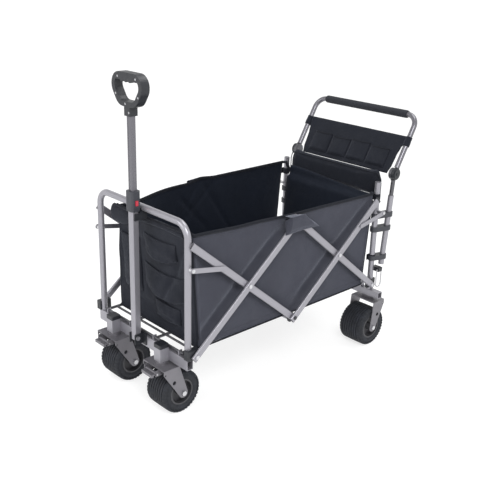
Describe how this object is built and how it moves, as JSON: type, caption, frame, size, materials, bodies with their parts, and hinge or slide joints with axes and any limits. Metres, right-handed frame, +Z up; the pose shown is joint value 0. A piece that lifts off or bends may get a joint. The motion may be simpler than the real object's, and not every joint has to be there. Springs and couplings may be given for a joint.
{
  "type": "folding camp wagon",
  "caption": "Folding utility wagon with a fabric bag on scissor sides, swivelling front casters, a telescopic pull handle and a tilting push handle.",
  "frame": {"origin": "on the floor under the middle of the open wagon's length and width", "axes": "+X to the front, where the pull handle is, +Y to the wagon's left, +Z up"},
  "size_m": [1.2015, 0.59, 1.094],
  "materials": {
    "tube": "satin powder coat, light silver grey",
    "zinc": "zinc-plated",
    "fork": "satin powder coat, mid grey",
    "stem": "satin black coat",
    "plastic": "moulded black nylon",
    "collar": "moulded dark grey nylon",
    "button": "moulded red",
    "canvas": "woven charcoal polyester",
    "padding": "padded woven charcoal polyester",
    "tyre": "solid wide tread",
    "wheel": "moulded black wheel body",
    "foam": "closed-cell foam"
  },
  "bodies": {
    "front_frame": {"front_u_frame": "tube", "front_crossbar": "tube", "caster_post_caps": "plastic", "front_pivot_brackets": "plastic", "front_frame_pins": "zinc", "handle_bracket": "plastic", "handle_clip": "plastic", "cargo_bag": "canvas"},
    "pull_tube": {"pull_outer_tube": "tube", "pull_collar": "collar"},
    "pull_extension": {"pull_inner_tube": "tube", "grip_front_shell": "plastic", "grip_rear_shell": "plastic", "grip_screws": "zinc"},
    "release_button": {"release_button": "button"},
    "caster_left": {"caster_fork_left": "fork", "caster_axle_set_left": "zinc"},
    "caster_wheel_left": {"caster_tyre_left": "tyre", "caster_rim_left": "wheel"},
    "brake_left": {"brake_pedal_left": "fork"},
    "caster_right": {"caster_fork_right": "fork", "caster_axle_set_right": "zinc"},
    "caster_wheel_right": {"caster_tyre_right": "tyre", "caster_rim_right": "wheel"},
    "brake_right": {"brake_pedal_right": "fork"},
    "front_outer_bars": {"front_outer_bar_left": "tube", "front_outer_bar_right": "tube", "top_rivets": "zinc"},
    "front_inner_bars": {"front_inner_bar_left": "tube", "front_inner_bar_right": "tube", "front_crossing_rivets": "zinc", "mid_brackets": "plastic", "mid_cross_tube": "tube"},
    "rear_outer_bars": {"rear_outer_bar_left": "tube", "rear_outer_bar_right": "tube", "rear_crossing_rivets": "zinc", "rear_bar_caps": "plastic"},
    "rear_inner_bars": {"rear_inner_bar_left": "tube", "rear_inner_bar_right": "tube"},
    "front_links": {"front_links": "tube"},
    "rear_links": {"rear_links": "tube"},
    "front_floor": {"front_floor_ladder": "stem"},
    "rear_floor": {"rear_floor_ladder": "tube"},
    "rear_frame": {"rear_frame_tubes": "tube", "rear_forks": "fork", "rear_frame_pins": "zinc", "rear_brackets": "plastic", "tube_clamps": "collar", "push_outer_tubes": "tube", "rear_roll": "padding"},
    "rear_wheel_left": {"rear_tyre_left": "tyre", "rear_rim_left": "wheel"},
    "rear_wheel_right": {"rear_tyre_right": "tyre", "rear_rim_right": "wheel"},
    "push_stems": {"push_stems": "stem"},
    "push_handle": {"hinge_discs": "plastic", "push_handle_tube": "tube", "foam_grip": "foam", "organizer": "canvas"},
    "wire_bail": {"wire_bail": "zinc"}
  },
  "joints": [
    {"name": "fold", "type": "hinge", "parent": "front_frame", "child": "front_outer_bars", "pos_m": [0.49975, 0, 0.24], "axis": [0, 1, 0], "range_deg": [0, 42], "deforming": ["cargo_bag"]},
    {"name": "front_cross", "type": "hinge", "parent": "front_outer_bars", "child": "front_inner_bars", "pos_m": [0.27975, 0, 0.42], "axis": [0, 1, 0], "range_deg": [-84, 0]},
    {"name": "lower_middle", "type": "hinge", "parent": "front_inner_bars", "child": "rear_outer_bars", "pos_m": [0.05975, 0, 0.24], "axis": [0, 1, 0], "range_deg": [0, 84]},
    {"name": "rear_cross", "type": "hinge", "parent": "rear_outer_bars", "child": "rear_inner_bars", "pos_m": [-0.16025, 0, 0.42], "axis": [0, 1, 0], "range_deg": [-84, 0]},
    {"name": "rear_pivot", "type": "hinge", "parent": "rear_inner_bars", "child": "rear_frame", "pos_m": [-0.38025, 0, 0.24], "axis": [0, 1, 0], "range_deg": [0, 42]},
    {"name": "front_link_pivot", "type": "hinge", "parent": "front_frame", "child": "front_links", "pos_m": [0.51175, 0, 0.5322], "axis": [0, 1, 0], "range_deg": [0, 85.89]},
    {"name": "rear_link_pivot", "type": "hinge", "parent": "rear_frame", "child": "rear_links", "pos_m": [-0.39225, 0, 0.5322], "axis": [0, 1, 0], "range_deg": [-85.89, 0]},
    {"name": "front_floor_hinge", "type": "hinge", "parent": "front_frame", "child": "front_floor", "pos_m": [0.51475, 0, 0.237], "axis": [0, 1, 0], "range_deg": [0, 84]},
    {"name": "rear_floor_hinge", "type": "hinge", "parent": "rear_frame", "child": "rear_floor", "pos_m": [-0.39525, 0, 0.237], "axis": [0, 1, 0], "range_deg": [-84, 0]},
    {"name": "pull_tilt", "type": "hinge", "parent": "front_frame", "child": "pull_tube", "pos_m": [0.54775, 0, 0.222], "axis": [0, 1, 0], "range_deg": [0, 95]},
    {"name": "pull_telescope", "type": "slide", "parent": "pull_tube", "child": "pull_extension", "axis": [0, 0, 1], "range_m": [-0.23, 0]},
    {"name": "collar_button", "type": "slide", "parent": "pull_tube", "child": "release_button", "axis": [0, -1, 0], "range_m": [0, 0.0023], "stiffness_N_per_m": 500},
    {"name": "caster_swivel_left", "type": "hinge", "parent": "front_frame", "child": "caster_left", "pos_m": [0.54075, 0.136, 0.18], "axis": [0, 0, 1], "continuous": true},
    {"name": "caster_spin_left", "type": "hinge", "parent": "caster_left", "child": "caster_wheel_left", "pos_m": [0.49375, 0.136, 0.075], "axis": [0, 1, 0], "continuous": true},
    {"name": "brake_press_left", "type": "hinge", "parent": "caster_left", "child": "brake_left", "pos_m": [0.58075, 0.136, 0.164], "axis": [0, 1, 0], "range_deg": [0, 12]},
    {"name": "rear_spin_left", "type": "hinge", "parent": "rear_frame", "child": "rear_wheel_left", "pos_m": [-0.36425, 0.233, 0.075], "axis": [0, 1, 0], "continuous": true},
    {"name": "caster_swivel_right", "type": "hinge", "parent": "front_frame", "child": "caster_right", "pos_m": [0.54075, -0.136, 0.18], "axis": [0, 0, 1], "continuous": true},
    {"name": "caster_spin_right", "type": "hinge", "parent": "caster_right", "child": "caster_wheel_right", "pos_m": [0.49375, -0.136, 0.075], "axis": [0, 1, 0], "continuous": true},
    {"name": "brake_press_right", "type": "hinge", "parent": "caster_right", "child": "brake_right", "pos_m": [0.58075, -0.136, 0.164], "axis": [0, 1, 0], "range_deg": [0, 12]},
    {"name": "rear_spin_right", "type": "hinge", "parent": "rear_frame", "child": "rear_wheel_right", "pos_m": [-0.36425, -0.233, 0.075], "axis": [0, 1, 0], "continuous": true},
    {"name": "push_height", "type": "slide", "parent": "rear_frame", "child": "push_stems", "axis": [-0.0941, 0, 0.9956], "range_m": [-0.055, 0.11]},
    {"name": "push_tilt", "type": "hinge", "parent": "push_stems", "child": "push_handle", "pos_m": [-0.46825, 0, 0.666], "axis": [0, 1, 0], "range_deg": [-60, 30]},
    {"name": "bail_swing", "type": "hinge", "parent": "rear_frame", "child": "wire_bail", "pos_m": [-0.40825, 0.264, 0.3], "axis": [1, 0, 0], "range_deg": [0, 100]}
  ],
  "couplings": [
    {"joint": "front_cross", "follows": "fold", "ratio": -2},
    {"joint": "lower_middle", "follows": "fold", "ratio": 2},
    {"joint": "rear_cross", "follows": "fold", "ratio": -2},
    {"joint": "rear_pivot", "follows": "fold", "ratio": 1},
    {"joint": "front_link_pivot", "follows": "fold", "ratio": 2.045},
    {"joint": "rear_link_pivot", "follows": "fold", "ratio": -2.045},
    {"joint": "front_floor_hinge", "follows": "fold", "ratio": 2},
    {"joint": "rear_floor_hinge", "follows": "fold", "ratio": -2}
  ]
}
